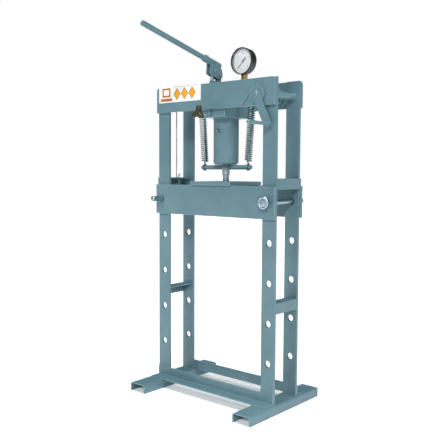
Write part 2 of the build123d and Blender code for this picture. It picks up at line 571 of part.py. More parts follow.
def make_pawl(depth):
    """The pawl: a flat finger on a plain pin, drawn just clear of the ratchet's teeth."""
    pivot_x, pivot_z = PAWL_PIVOT
    tooth_angle = radians(180 - 180 / RATCHET_TEETH)
    engaged_radius = RATCHET_RADIUS - 2.2
    finger_drop = 9.0
    tip_x = WINCH_X + engaged_radius * cos(tooth_angle)
    tip_z = HEAD_AXIS_Z + engaged_radius * sin(tooth_angle) - finger_drop
    reach = hypot(tip_x - pivot_x, tip_z - pivot_z)
    lean = degrees(atan2(tip_z - pivot_z, tip_x - pivot_x)) + PAWL_LIFT
    boss_radius, pin_diameter, pin_proud = 7.5, 8.0, 0.4
    finger = make_face(Polyline((0, -5), (reach - 7, -4), (reach, 1.0), (reach - 4, 4.5), (0, 5), close=True))
    outline = Pos(pivot_x, pivot_z) * Rot(0, 0, lean) * (finger + Circle(boss_radius))
    pawl = extrude(front_plane(depth[1]) * outline, depth[1] - depth[0])
    pawl -= rod_y(pin_diameter + 2 * RUNNING, pivot_x, (depth[0] - CUT, depth[1] + CUT), pivot_z)
    save("pawl", pawl)
    save("pawl_pin", rod_y(pin_diameter, pivot_x, (depth[0] - pin_proud, BEAM_FRONT_Y), pivot_z))


def make_rope():
    """The bed's lifting rope with its sheave and clip, and the winding on the drum."""
    sheave_diameter, sheave_half, groove_half = 60.0, 8.0, 3.9
    groove = ring_y(sheave_diameter + 2 * CUT, ROPE_SEAT, SHEAVE_X, (-groove_half, groove_half), HEAD_AXIS_Z)
    sheave = rod_y(sheave_diameter, SHEAVE_X, (-sheave_half, sheave_half), HEAD_AXIS_Z) - groove
    sheave -= rod_y(TIE_BAR_DIAMETER + 2 * RUNNING, SHEAVE_X, (-sheave_half - CUT, sheave_half + CUT),
                    HEAD_AXIS_Z)
    save("rope_sheave", sheave)

    loop_radius, loop_z, tail_radius, tail_run = 5.9, 838.0, 12.0, 7.0
    top_z = HEAD_AXIS_Z + ROPE_RADIUS
    tail_z = END_BAR_TOP_Z + tail_run
    route = [(WINCH_X, ROPE_DRUM_Y, top_z), (ROPE_X, 0, top_z), (ROPE_X, 0, loop_z),
             (ROPE_TAIL_X, 0, loop_z), (ROPE_TAIL_X, 0, tail_z), (ROPE_TAIL_X + tail_run, 0, tail_z + tail_run)]
    radii = [ROPE_RADIUS, loop_radius, loop_radius, tail_radius]
    path = FilletPolyline(*route, radius=radii)
    start = Plane(origin=path @ 0, z_dir=path % 0)
    run = sweep(start * Circle(ROPE_DIAMETER / 2), path=path)
    filling = run.volume / (pi * ROPE_DIAMETER ** 2 / 4 * path.length)
    print("rope length", round(path.length), "volume ratio", round(filling, 4), "radii", radii)
    save("lifting_rope", run)

    turns_shown = 3
    last_turn = ROPE_DRUM_Y - ROPE_DIAMETER / 2 - CUT
    save("rope_winding", ring_y(2 * ROPE_RADIUS + ROPE_DIAMETER, ROPE_SEAT, WINCH_X,
                                (last_turn - turns_shown * ROPE_DIAMETER, last_turn), HEAD_AXIS_Z))

    clip_wall, clip_half_y, clip_z, clip_rounding = 5.5, 6.5, (847.0, 861.0), 3.0
    clip = block((ROPE_X - clip_wall, ROPE_TAIL_X + clip_wall), (-clip_half_y, clip_half_y), clip_z)
    clip = fillet(clip.edges().filter_by(Axis.Z), clip_rounding)
    for x in (ROPE_X, ROPE_TAIL_X):
        clip -= rod_z(ROPE_DIAMETER, x, 0, (clip_z[0] - CUT, clip_z[1] + CUT))
    save("rope_clip", clip)


def make_bed():
    """Bed: two flats outside the uprights, joined by an angle beyond each pair of them."""
    low = BED_TOP_Z - BED_HEIGHT
    for side, name in ((-1, "bed_plate_front"), (1, "bed_plate_rear")):
        faces = sorted((side * BED_INNER_Y, side * (BED_INNER_Y + BED_THICKNESS)))
        plate = block((-BED_HALF, BED_HALF), faces, (low, BED_TOP_Z))
        for centre in (-POST_SPACING / 2, POST_SPACING / 2):
            plate -= rod_y(BED_HOLE_DIAMETER, centre, (faces[0] - CUT, faces[1] + CUT), BED_PIN_Z)
        save(name, plate)
    post_clearance, ledge_width, rope_hole = 1.5, 53.0, ROPE_DIAMETER + 3.0
    ledge_half_y = POST_INNER_Y - post_clearance
    ends = []
    for side in (-1, 1):
        outer = side * BED_HALF
        end = block(sorted((outer, outer - side * SHEET)), (-BED_INNER_Y, BED_INNER_Y),
                    (END_BAR_TOP_Z - ANGLE_SHORT, END_BAR_TOP_Z))
        end += block(sorted((outer, outer - side * ledge_width)), (-ledge_half_y, ledge_half_y),
                     (END_BAR_TOP_Z - SHEET, END_BAR_TOP_Z))
        ends.append(end)
    for x in (ROPE_X, ROPE_TAIL_X):
        ends[0] -= rod_z(rope_hole, x, 0, (END_BAR_TOP_Z - SHEET - CUT, END_BAR_TOP_Z + CUT))
    save("bed_ends", Compound(children=ends))


def make_press_plates():
    """Two loose plates on the bed, each with half of the hole that the ram passes through."""
    width, depth, height = PRESS_PLATE
    gap = 0.5
    notch = rod_z(2 * NOTCH_RADIUS, 0, 0, (BED_TOP_Z - CUT, BED_TOP_Z + height + CUT))
    for side, name in ((-1, "press_plate_left"), (1, "press_plate_right")):
        x = sorted((side * gap, side * (gap + width)))
        save(name, block(x, (-depth / 2, depth / 2), (BED_TOP_Z, BED_TOP_Z + height)) - notch)


def make_bed_pins():
    """Bed pins with a ring for a head: the right one goes in from the front, the left from behind."""
    toe_chamfer, web_half = 2.5, 3.0
    web_diameter = 2 * PIN_RING - 2.0
    for side, head_y, name in ((1, -113.0, "bed_pin_right"), (-1, 102.0, "bed_pin_left")):
        centre = side * POST_SPACING / 2
        toe = head_y + side * PIN_LENGTH
        pin = rod_y(PIN_DIAMETER, centre, sorted((head_y, toe)), BED_PIN_Z)
        ends = pin.edges().filter_by(GeomType.CIRCLE).sort_by(Axis.Y)
        pin = chamfer(ends[-1] if side > 0 else ends[0], toe_chamfer)
        ring = Pos(centre, head_y, BED_PIN_Z) * Rot(90, 0, 0) * Torus(PIN_RING, PIN_RING_WIRE / 2)
        web = rod_y(web_diameter, centre, (head_y - web_half, head_y + web_half), BED_PIN_Z)
        save(name, pin + ring + web)


def make_label():
    """A blank printed plate on the front beam."""
    film = 0.5
    save("label_plate", block(LABEL_X, (BEAM_FRONT_Y - film, BEAM_FRONT_Y), (LABEL_BOTTOM_Z, FRAME_TOP_Z)))


make_feet()
make_sills()
make_posts()
make_side_braces()
make_head_beams()
make_tie_bars()
make_head_block()
make_cylinder()
make_ram()
make_return_springs()
make_pump()
make_lever()
make_release_valve()
make_gauge()
make_winch()
make_rope()
make_bed()
make_press_plates()
make_bed_pins()
make_label()
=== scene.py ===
import json
import math

import bmesh
import bpy
from mathutils import Matrix, Vector

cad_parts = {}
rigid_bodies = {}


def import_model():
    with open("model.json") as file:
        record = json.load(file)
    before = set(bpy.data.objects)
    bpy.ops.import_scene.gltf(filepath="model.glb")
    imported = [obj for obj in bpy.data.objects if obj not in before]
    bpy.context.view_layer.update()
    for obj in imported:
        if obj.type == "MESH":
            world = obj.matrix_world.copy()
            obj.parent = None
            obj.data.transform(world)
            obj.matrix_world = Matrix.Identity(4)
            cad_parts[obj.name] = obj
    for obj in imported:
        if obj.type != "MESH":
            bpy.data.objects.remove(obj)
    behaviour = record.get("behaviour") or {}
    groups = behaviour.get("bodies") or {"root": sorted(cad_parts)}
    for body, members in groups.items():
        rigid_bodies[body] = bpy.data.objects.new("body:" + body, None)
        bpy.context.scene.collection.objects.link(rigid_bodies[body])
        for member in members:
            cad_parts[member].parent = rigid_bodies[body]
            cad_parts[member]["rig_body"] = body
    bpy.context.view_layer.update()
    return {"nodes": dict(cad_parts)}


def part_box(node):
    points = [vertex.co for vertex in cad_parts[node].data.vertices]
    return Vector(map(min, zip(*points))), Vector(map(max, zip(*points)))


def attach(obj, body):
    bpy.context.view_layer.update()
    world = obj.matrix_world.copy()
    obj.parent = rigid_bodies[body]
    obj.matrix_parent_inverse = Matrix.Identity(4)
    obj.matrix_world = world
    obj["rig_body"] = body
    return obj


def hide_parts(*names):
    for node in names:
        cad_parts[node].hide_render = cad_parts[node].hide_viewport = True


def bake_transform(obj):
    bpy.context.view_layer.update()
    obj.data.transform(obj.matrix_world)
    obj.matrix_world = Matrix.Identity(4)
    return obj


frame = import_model()
nodes = frame["nodes"]

# ---------------------------------------------------------------- camera, floor and studio light
# The press stands on a plain pale floor in a white room, with soft lights beside the camera, in
# front, at its right and overhead. The camera stands in front to the right, at the bed's height.
camera_place = (1.7062, -2.0283, 0.890)
heading, downward, roll = math.radians(40.22), math.radians(4.34), math.radians(0.32)
forward = Vector((-math.sin(heading) * math.cos(downward), math.cos(heading) * math.cos(downward),
                  -math.sin(downward)))
level = Vector((math.cos(heading), math.sin(heading), 0))
upright = level.cross(forward)
right = level * math.cos(roll) + upright * math.sin(roll)
above = upright * math.cos(roll) - level * math.sin(roll)
lens = bpy.data.cameras.new("camera")
lens.sensor_width = 36.0
lens.lens = 53.38
camera = bpy.data.objects.new("camera", lens)
camera.matrix_world = (Matrix.Translation(camera_place)
                       @ Matrix((right, above, -forward)).transposed().to_4x4())
bpy.context.scene.collection.objects.link(camera)
bpy.context.scene.camera = camera
bpy.context.scene.view_settings.view_transform = "Standard"

room = bpy.data.worlds.new("room")
room.use_nodes = True
air = room.node_tree
seen = air.nodes.new("ShaderNodeLightPath")
walls = air.nodes.new("ShaderNodeMix")
walls.data_type = "RGBA"
dim_wall, white_wall = (0.070, 0.100, 0.115, 1.0), (1.0, 1.0, 1.0, 1.0)
walls.inputs[6].default_value = dim_wall
walls.inputs[7].default_value = white_wall
air.links.new(seen.outputs["Is Camera Ray"], walls.inputs[0])
air.links.new(walls.outputs[2], air.nodes["Background"].inputs["Color"])
bpy.context.scene.world = room


def soft_light(name, turn_right, height, softness, strength):
    """A distant soft light, its direction given in degrees to the right of the front."""
    lamp = bpy.data.lights.new(name, "SUN")
    lamp.angle = math.radians(softness)
    lamp.energy = strength
    holder = bpy.data.objects.new(name, lamp)
    side, rise = math.radians(turn_right), math.radians(height)
    source = Vector((math.sin(side) * math.cos(rise), -math.cos(side) * math.cos(rise), math.sin(rise)))
    holder.matrix_world = source.to_track_quat("Z", "Y").to_matrix().to_4x4()
    bpy.context.scene.collection.objects.link(holder)


soft_light("key_light", 36, 30, 9, 1.75)
soft_light("front_light", -10, 30, 12, 0.80)
soft_light("right_light", 88, 30, 14, 0.95)
soft_light("ceiling_light", 20, 86, 26, 2.6)

ground = bmesh.new()
bmesh.ops.create_grid(ground, x_segments=1, y_segments=1, size=30.0)
floor_mesh = bpy.data.meshes.new("floor")
ground.to_mesh(floor_mesh)
ground.free()
floor = bpy.data.objects.new("floor", floor_mesh)
bpy.context.scene.collection.objects.link(floor)


# ---------------------------------------------------------------- feet, and the press's enamel
# The feet are 4 mm sheet folded to channels, open below. Like all the frame they are welded and then
# sprayed with a blue-grey enamel, and a painted highlight lightens the enamel along every eased edge.
class Value:
    """A number that varies over a surface, so that shader maths reads as an expression."""

    def __init__(self, paint, socket):
        self.paint = paint
        self.socket = socket

    def math(self, operation, first, second):
        node = self.paint.node("ShaderNodeMath", {"operation": operation}, {0: first, 1: second})
        return Value(self.paint, node.outputs[0])

    def __add__(self, other):
        return self.math("ADD", self, other)

    __radd__ = __add__

    def __mul__(self, other):
        return self.math("MULTIPLY", self, other)

    __rmul__ = __mul__

    def __sub__(self, other):
        return self.math("SUBTRACT", self, other)

    def __rsub__(self, other):
        return self.math("SUBTRACT", other, self)

    def step(self, low, high):
        """0 below low, 1 above high, with a smooth rise between."""
        node = self.paint.node("ShaderNodeMapRange", {"interpolation_type": "SMOOTHSTEP"},
                               {"Value": self, "From Min": low, "From Max": high})
        return Value(self.paint, node.outputs["Result"])


class Paint:
    """One procedural finish: its nodes end in a Principled shader."""

    def __init__(self, name):
        self.material = bpy.data.materials.new(name)
        self.material.use_nodes = True
        self.tree = self.material.node_tree
        self.shader = self.tree.nodes["Principled BSDF"]

    def node(self, kind, settings, sockets):
        node = self.tree.nodes.new(kind)
        for key, value in settings.items():
            setattr(node, key, value)
        self.connect(node, sockets)
        return node

    def connect(self, node, sockets):
        for key, value in sockets.items():
            if isinstance(value, Value):
                self.tree.links.new(value.socket, node.inputs[key])
            else:
                node.inputs[key].default_value = value

    def place(self, stretch):
        """Object coordinates, stretched."""
        source = self.node("ShaderNodeTexCoord", {}, {})
        mapped = self.node("ShaderNodeMapping", {},
                           {"Vector": Value(self, source.outputs["Object"]), "Scale": stretch})
        return Value(self, mapped.outputs["Vector"])

    def noise(self, scale, detail=2.0, roughness=0.5, stretch=(1, 1, 1)):
        node = self.node("ShaderNodeTexNoise", {},
                         {"Vector": self.place(stretch), "Scale": scale, "Detail": detail,
                          "Roughness": roughness})
        return Value(self, node.outputs["Fac"])

    def attribute(self, name):
        node = self.node("ShaderNodeAttribute", {"attribute_name": name}, {})
        return Value(self, node.outputs["Fac"])

    def mix(self, share, first, second):
        """A colour between two colours."""
        node = self.node("ShaderNodeMix", {"data_type": "RGBA"}, {0: share, 6: first, 7: second})
        return Value(self, node.outputs[2])

    def bump(self, height, strength, distance):
        node = self.node("ShaderNodeBump", {},
                         {"Height": height, "Strength": strength, "Distance": distance})
        return Value(self, node.outputs["Normal"])

    def finish(self, **sockets):
        self.connect(self.shader, {key.replace("_", " "): value for key, value in sockets.items()})
        return self.material


def tone(red, green, blue):
    return (red, green, blue, 1.0)


def enamel_finish(name, light, dark):
    """Sprayed enamel: faint clouds, a fine orange peel, small rubbed spots down to the primer on the edges,
    and a painted highlight that lightens every eased edge.
    """
    paint = Paint(name)
    cloud = paint.noise(5.0, detail=3.0)
    speck = paint.noise(240.0, detail=3.0, roughness=0.65)
    handled = paint.noise(28.0, detail=4.0, roughness=0.6)
    edge = paint.attribute("edge_wear_and_highlight")
    rubbed = (edge * (speck * 0.6 + handled * 0.5)).step(0.60, 0.66)
    shade, glint = [0.86 * part for part in dark], [1.35 * part for part in light]
    # The first tone here is a painted highlight for the eased edges, much lighter than the enamel; the
    # second is the primer under rubbed spots.
    painted_edge_highlight, primer = [1.9 * part for part in light], (0.30, 0.32, 0.33)
    colour = paint.mix(cloud.step(0.3, 0.7), tone(*dark), tone(*light))
    colour = paint.mix(handled.step(0.45, 0.75) * 0.35, colour, tone(*shade))
    colour = paint.mix(speck.step(0.62, 0.72) * 0.30, colour, tone(*glint))
    # Painted highlight: the eased edges are mixed up to three quarters of the way to the lighter tone,
    # standing in for light caught on the edges.
    edge_highlit_colour = paint.mix(edge * 0.75, colour, tone(*painted_edge_highlight))
    peel = paint.noise(520.0, detail=1.0)
    wave = paint.noise(30.0, detail=1.0)
    return paint.finish(
        Base_Color=paint.mix(rubbed, edge_highlit_colour, tone(*primer)),
        Metallic=rubbed * 0.8,
        Roughness=0.31 + (handled - 0.5) * 0.22 + speck * 0.05,
        Normal=paint.bump(peel * 0.2 + wave, 0.16, 0.0003),
        Specular_IOR_Level=0.4,
        Coat_Weight=0.05,
        Coat_Roughness=0.2)


enamel = enamel_finish("enamel", (0.112, 0.200, 0.232), (0.088, 0.164, 0.194))


def ease(shape, radius, sharper_than=35.0):
    """Rounds every sharp edge a little, and marks the rounded faces for edge wear and for a painted edge
    highlight.
    """
    edge_wear_and_highlight = shape.faces.layers.float.get("edge_wear_and_highlight") or shape.faces.layers.float.new("edge_wear_and_highlight")
    sharp = [edge for edge in shape.edges
             if len(edge.link_faces) == 2 and edge.calc_face_angle(0) > math.radians(sharper_than)]
    if sharp:
        rounded = bmesh.ops.bevel(shape, geom=sharp, affect="EDGES", offset=radius, offset_type="OFFSET",
                                  segments=2, profile=0.5, material=-1, clamp_overlap=True)
        for face in rounded["faces"]:
            face[edge_wear_and_highlight] = 1.0


def piece(name, shape, material, body, stands_for=()):
    """Makes an object of a bmesh: smooth, riding on its body, in the finish it is given."""
    for face in shape.faces:
        face.smooth = True
    mesh = bpy.data.meshes.new(name)
    shape.to_mesh(mesh)
    shape.free()
    made = bpy.data.objects.new(name, mesh)
    bpy.context.scene.collection.objects.link(made)
    mesh.materials.append(material)
    weighted = made.modifiers.new("weighted", "WEIGHTED_NORMAL")
    weighted.keep_sharp = True
    weighted.weight = 60
    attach(made, body)
    if stands_for:
        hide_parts(*stands_for)
    return made


def softened(node, radius, material):
    """A CAD node with its edges eased, standing for the node."""
    shape = bmesh.new()
    shape.from_mesh(nodes[node].data)
    bmesh.ops.remove_doubles(shape, verts=shape.verts, dist=2e-6)
    bmesh.ops.dissolve_limit(shape, angle_limit=math.radians(0.6), verts=shape.verts, edges=shape.edges,
                             use_dissolve_boundaries=False)
    ease(shape, radius)
    return piece(f"{node}_eased", shape, material, nodes[node]["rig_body"], (node,))


for foot in ("foot_left", "foot_right"):
    softened(foot, 0.0007, enamel)

# ---------------------------------------------------------------- sills, uprights and knee braces
# Hot-rolled angles and flat bars. The uprights are drilled for the bed's pins, and the mill leaves
# their long corners slightly round.
for bar in ("sill_front", "sill_rear", "side_brace_left", "side_brace_right"):
    softened(bar, 0.0009, enamel)
for upright_bar in ("post_front_left", "post_front_right", "post_rear_left", "post_rear_right"):
    softened(upright_bar, 0.0008, enamel)

# ---------------------------------------------------------------- weld beads
# Fillet welds laid by hand along the joints of the frame, and painted over with it. Each bead has
# the ripples of a weld pool that moved on a few millimetres at a time.
ripple = 0.0022


def bead(holder, start, end, radius):
    """A straight rippled bead from start to end, both in millimetres."""
    first, last = Vector(start) / 1000, Vector(end) / 1000
    count = max(4, int((last - first).length / ripple) * 2)
    line = holder.splines.new("POLY")
    line.points.add(count)
    for index in range(count + 1):
        share = index / count
        point = first.lerp(last, share)
        line.points[index].co = (*point, 1)
        ends = min(1.0, 0.55 + 6 * min(share, 1 - share))
        line.points[index].radius = radius / 1000 * (1.0 + 0.10 * (-1) ** index) * ends


def ring_bead(holder, centre, axis, ring_radius, radius):
    """A rippled bead round a bar, all sizes in millimetres."""
    count = max(16, int(2 * math.pi * ring_radius / 1000 / ripple) * 2)
    line = holder.splines.new("POLY")
    line.points.add(count - 1)
    line.use_cyclic_u = True
    turn = Vector((0, 0, 1)).rotation_difference(Vector(axis))
    for index in range(count):
        angle = 2 * math.pi * index / count
        spot = turn @ Vector((ring_radius * math.cos(angle), ring_radius * math.sin(angle), 0))
        line.points[index].co = (*((Vector(centre) + spot) / 1000), 1)
        line.points[index].radius = radius / 1000 * (1.0 + 0.10 * (-1) ** index)


def new_bead_run(name):
    holder = bpy.data.curves.new(name, "CURVE")
    holder.dimensions = "3D"
    holder.bevel_depth = 1.0
    holder.bevel_resolution = 2
    holder.use_fill_caps = True
    return holder


def close_bead_run(holder, body, material):
    """Makes the run of beads a mesh that rides on its body."""
    drawn = bpy.data.objects.new("drawn", holder)
    bpy.context.scene.collection.objects.link(drawn)
    bpy.context.view_layer.update()
    shape = bmesh.new()
    shape.from_mesh(bpy.data.meshes.new_from_object(drawn))
    bpy.data.objects.remove(drawn)
    bmesh.ops.remove_doubles(shape, verts=shape.verts, dist=1e-7)
    bmesh.ops.recalc_face_normals(shape, faces=shape.faces)
    return piece(holder.name, shape, material, body)


post_inner_x, post_outer_x = 240, 300
post_in, post_out = 67.5, 77.5
sill_top, foot_top, brace_low, brace_high = 36, 75, 375, 412
head_low, head_centre, hanger_height = 1136, 1178, 1165
block_half_width = 56
tie_bar_x = (-250, 270)
base_welds = new_bead_run("base_welds")
for side in (-1, 1):
    inner_x, outer_x = side * post_inner_x, side * post_outer_x
    for front in (-1, 1):
        near, far, sill_edge = front * post_in, front * post_out, front * 127.5
        lip = far + front * 1.5
        bead(base_welds, (inner_x, near, sill_top), (outer_x, near, sill_top), 2.6)
        bead(base_welds, (inner_x, near, sill_top), (inner_x, far, sill_top), 2.4)
        bead(base_welds, (outer_x, near, sill_top), (outer_x, far, sill_top), 2.0)
        bead(base_welds, (inner_x, far, 40), (inner_x, far, 74), 2.2)
        bead(base_welds, (inner_x + side * 2, lip, foot_top), (outer_x, lip, foot_top), 2.4)
        bead(base_welds, (side * 232, sill_edge, sill_top), (side * 298, sill_edge, sill_top), 2.4)
        bead(base_welds, (outer_x, far, 37), (outer_x, front * 126, 36.5), 1.8)
        bead(base_welds, (side * 298, near, brace_low), (side * 298, near, brace_high), 2.2)
        bead(base_welds, (side * 252, near, brace_high), (side * 296, near, brace_high), 2.2)
close_bead_run(base_welds, "frame", enamel)

head_welds = new_bead_run("head_welds")
for side in (-1, 1):
    inner_x, outer_x, block_x = side * post_inner_x, side * post_outer_x, side * block_half_width
    for front in (-1, 1):
        far = front * post_out
        bead(head_welds, (inner_x, far, head_low), (outer_x, far, head_low), 2.6)
        bead(head_welds, (inner_x, far, 1138), (inner_x, far, 1235), 2.4)
        bead(head_welds, (block_x, far, 1139), (block_x, far, 1189), 2.6)
    ring_bead(head_welds, (block_x, 0, hanger_height), (1, 0, 0), 6.5, 1.8)
for front in (-1, 1):
    far = front * post_out
    bead(head_welds, (-block_half_width, far, head_low), (block_half_width, far, head_low), 2.8)
    for bar_x in tie_bar_x:
        ring_bead(head_welds, (bar_x, front * (post_in - 0.5), head_centre), (0, 1, 0), 13.2, 3.2)
ring_bead(head_welds, (0, 0, 1106), (0, 0, 1), 50.5, 2.6)
for lug_side in (-28.5, -15.5):
    bead(head_welds, (lug_side, -44, 1190.5), (lug_side, -12, 1190.5), 2.2)
close_bead_run(head_welds, "frame", enamel)

# ---------------------------------------------------------------- head
# Two 12 mm flats outside the uprights, round bars between them, and the machined block that holds
# the oil and the valves. All are welded up before painting.
for plate in ("head_beam_front", "head_beam_rear"):
    softened(plate, 0.0009, enamel)
softened("head_block", 0.0014, enamel)


def turned(profile, origin, axis, steps=64):
    """A turned part: profile is (distance along the axis, radius) in millimetres, from end to end."""
    shape = bmesh.new()
    ring = [shape.verts.new((radius / 1000, 0, along / 1000)) for along, radius in profile]
    line = [shape.edges.new(pair) for pair in zip(ring, ring[1:])]
    bmesh.ops.spin(shape, geom=ring + line, cent=(0, 0, 0), axis=(0, 0, 1), angle=2 * math.pi,
                   steps=steps, use_merge=True)
    bmesh.ops.remove_doubles(shape, verts=shape.verts, dist=1e-6)
    bmesh.ops.recalc_face_normals(shape, faces=shape.faces)
    turn = Vector((0, 0, 1)).rotation_difference(Vector(axis)).to_matrix().to_4x4()
    bmesh.ops.transform(shape, matrix=Matrix.Translation(Vector(origin) / 1000) @ turn, verts=shape.verts)
    return shape


def lathe(name, profile, origin, axis, radius, material, body, stands_for=(), steps=64):
    """A turned piece whose sharp corners are eased by a radius in millimetres."""
    shape = turned(profile, origin, axis, steps)
    ease(shape, radius / 1000, 30.0)
    return piece(name, shape, material, body, stands_for)


def rod(start, end, radius):
    """The profile of a plain rod."""
    return [(start, 0), (start, radius), (end, radius), (end, 0)]


def sleeve(start, end, inner, outer):
    """The profile of a tube, which closes on itself."""
    return [(start, inner), (start, outer), (end, outer), (end, inner), (start, inner)]


tie_bar = rod(-post_in, post_in, 12.5)
lathe("tie_bar_right", tie_bar, (tie_bar_x[1], 0, head_centre), (0, 1, 0), 0.3, enamel, "frame",
      ("tie_bars",))
lathe("tie_bar_left", tie_bar, (tie_bar_x[0], 0, head_centre), (0, 1, 0), 0.3, enamel, "frame")

# ---------------------------------------------------------------- label
# A printed film on the front beam. Its marks are plain amber diamonds and blocks with no lettering.
film = Paint("label_film")
film_grain = film.noise(160.0)
label_film = film.finish(
    Base_Color=film.mix(film_grain, tone(0.70, 0.70, 0.71), tone(0.78, 0.78, 0.79)),
    Roughness=0.34 + film_grain * 0.1,
    Normal=film.bump(film.noise(30.0), 0.1, 0.0004))


def ink(name, light, dark):
    paint = Paint(name)
    grain = paint.noise(420.0, detail=3.0)
    return paint.finish(Base_Color=paint.mix(grain, tone(*dark), tone(*light)),
                        Roughness=0.38 + grain * 0.12)


amber_ink = ink("amber_ink", (0.80, 0.33, 0.008), (0.70, 0.28, 0.008))
rust_ink = ink("rust_ink", (0.50, 0.18, 0.02), (0.30, 0.09, 0.012))
brown_ink = ink("brown_ink", (0.09, 0.045, 0.02), (0.06, 0.03, 0.014))
grey_ink = ink("grey_ink", (0.34, 0.35, 0.36), (0.28, 0.29, 0.30))
label_low, label_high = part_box("label_plate")
film_shape = bmesh.new()
bmesh.ops.create_cube(film_shape, size=1.0, matrix=Matrix.Translation((label_low + label_high) / 2)
                      @ Matrix.Diagonal((*(label_high - label_low), 1)))
corners = [edge for edge in film_shape.edges
           if abs(edge.verts[0].co.y - edge.verts[1].co.y) > 1e-4]
bmesh.ops.bevel(film_shape, geom=corners, affect="EDGES", offset=0.002, segments=4, profile=0.5,
                material=-1)
piece("label_film_sheet", film_shape, label_film, "frame", ("label_plate",))


ink_layer = 0.00006


def print_mark(name, outlines, material, layer):
    """Ink shapes on the label: outlines are in millimetres from the label's lower left corner."""
    marks = bmesh.new()
    face_y = label_low.y - layer * ink_layer
    for outline in outlines:
        ring = [marks.verts.new((label_low.x + across / 1000, face_y, label_low.z + up / 1000))
                for across, up in outline]
        face = marks.faces.new(ring)
        grown = bmesh.ops.extrude_face_region(marks, geom=[face])
        moved = [item for item in grown["geom"] if isinstance(item, bmesh.types.BMVert)]
        bmesh.ops.translate(marks, verts=moved, vec=(0, -ink_layer, 0))
    bmesh.ops.recalc_face_normals(marks, faces=marks.faces)
    return piece(name, marks, material, "frame")


def block_mark(left, low, wide, high):
    return [(left, low), (left + wide, low), (left + wide, low + high), (left, low + high)]


def diamond_mark(middle, level, half_wide, half_high):
    return [(middle - half_wide, level), (middle, level - half_high), (middle + half_wide, level),
            (middle, level + half_high)]


diamonds, diamond_level = (102, 143, 184), 32
outlines = [diamond_mark(middle, diamond_level, 19.5, 24.5) for middle in diamonds]
fills = [diamond_mark(middle, diamond_level, 17, 21.4) for middle in diamonds]
print_mark("label_outlines", outlines, brown_ink, 1)
print_mark("label_diamonds", fills, amber_ink, 2)
print_mark("label_blocks", [block_mark(9, 5.5, 66, 11), block_mark(19, 22, 46, 36)], rust_ink, 1)
print_mark("label_window", [block_mark(27, 29, 30, 22)], label_film, 2)
print_mark("label_rule", [block_mark(78, 60.0, 140, 1.4)], grey_ink, 1)

# ---------------------------------------------------------------- cylinder
# A drawn tube with a turned gland screwed into its lower end, painted with the frame. The bleed
# screw is a slotted cheese head on a soft washer.
lathe("cylinder_body", sleeve(946.4, 1107, 40, 50), (0, 0, 0), (0, 0, 1), 0.5, enamel, "frame",
      ("cylinder_tube",), steps=96)
lathe("cylinder_nut", [(925, 15.1), (925, 43), (926.5, 44.6), (931.5, 49.4), (933, 50), (945.6, 50),
                       (945.6, 40), (963, 40), (963, 15.1), (925, 15.1)],
      (0, 0, 0), (0, 0, 1), 0.5, enamel, "frame", ("cylinder_gland",), steps=96)


def metal(name, light, dark, roughness, scratch, stretch=(1, 1, 1), grain=300.0):
    """Bare metal: a base tone with faint stains, and fine lines left by the tool."""
    paint = Paint(name)
    lines = paint.noise(grain, detail=4.0, roughness=0.7, stretch=stretch)
    stain = paint.noise(35.0, detail=3.0)
    edge = paint.attribute("edge_wear_and_highlight")
    groove, polish = [0.72 * part for part in dark], [min(1.0, 1.2 * part) for part in light]
    colour = paint.mix(stain.step(0.35, 0.7), tone(*light), tone(*dark))
    colour = paint.mix(lines.step(0.4, 0.8) * 0.35, colour, tone(*groove))
    return paint.finish(
        Base_Color=paint.mix(edge * 0.5, colour, tone(*polish)),
        Metallic=1.0,
        Roughness=roughness + (lines - 0.5) * 0.18 + (stain - 0.5) * 0.12,
        Normal=paint.bump(lines, scratch, 0.0002))


zinc = metal("zinc_plate", (0.42, 0.53, 0.58), (0.27, 0.37, 0.42), 0.36, 0.08)
bleed_height, slot_half = 1.056, 0.0008
screw_shape = turned([(-55, 0), (-55, 4.6), (-54.2, 5.5), (-50.6, 5.5), (-50.6, 0)],
                     (0, 0, 1000 * bleed_height), (0, 1, 0), 32)
for slot_edge in (bleed_height + slot_half, bleed_height - slot_half):
    everything = screw_shape.verts[:] + screw_shape.edges[:] + screw_shape.faces[:]
    bmesh.ops.bisect_plane(screw_shape, geom=everything, plane_co=(0, 0, slot_edge), plane_no=(0, 0, 1))
slot_faces = [face for face in screw_shape.faces
              if face.calc_center_median().y < -0.0548
              and abs(face.calc_center_median().z - bleed_height) < slot_half]
sunk = bmesh.ops.extrude_face_region(screw_shape, geom=slot_faces)
bmesh.ops.translate(screw_shape, vec=(0, 0.0014, 0),
                    verts=[item for item in sunk["geom"] if isinstance(item, bmesh.types.BMVert)])
bmesh.ops.delete(screw_shape, geom=slot_faces, context="FACES")
bmesh.ops.recalc_face_normals(screw_shape, faces=screw_shape.faces)
piece("bleed_screw_head", screw_shape, zinc, "frame", ("bleed_screw",))

rubber = Paint("black_rubber")
rubber_grain = rubber.noise(300.0)
black_rubber = rubber.finish(
    Base_Color=rubber.mix(rubber_grain, tone(0.012, 0.012, 0.012), tone(0.022, 0.022, 0.022)),
    Roughness=0.6 + rubber_grain * 0.15,
    Normal=rubber.bump(rubber_grain, 0.1, 0.0002))
lathe("bleed_washer", sleeve(-50.9, -49.6, 3, 7.2), (0, 0, 1000 * bleed_height), (0, 1, 0), 0.3,
      black_rubber, "frame", steps=40)

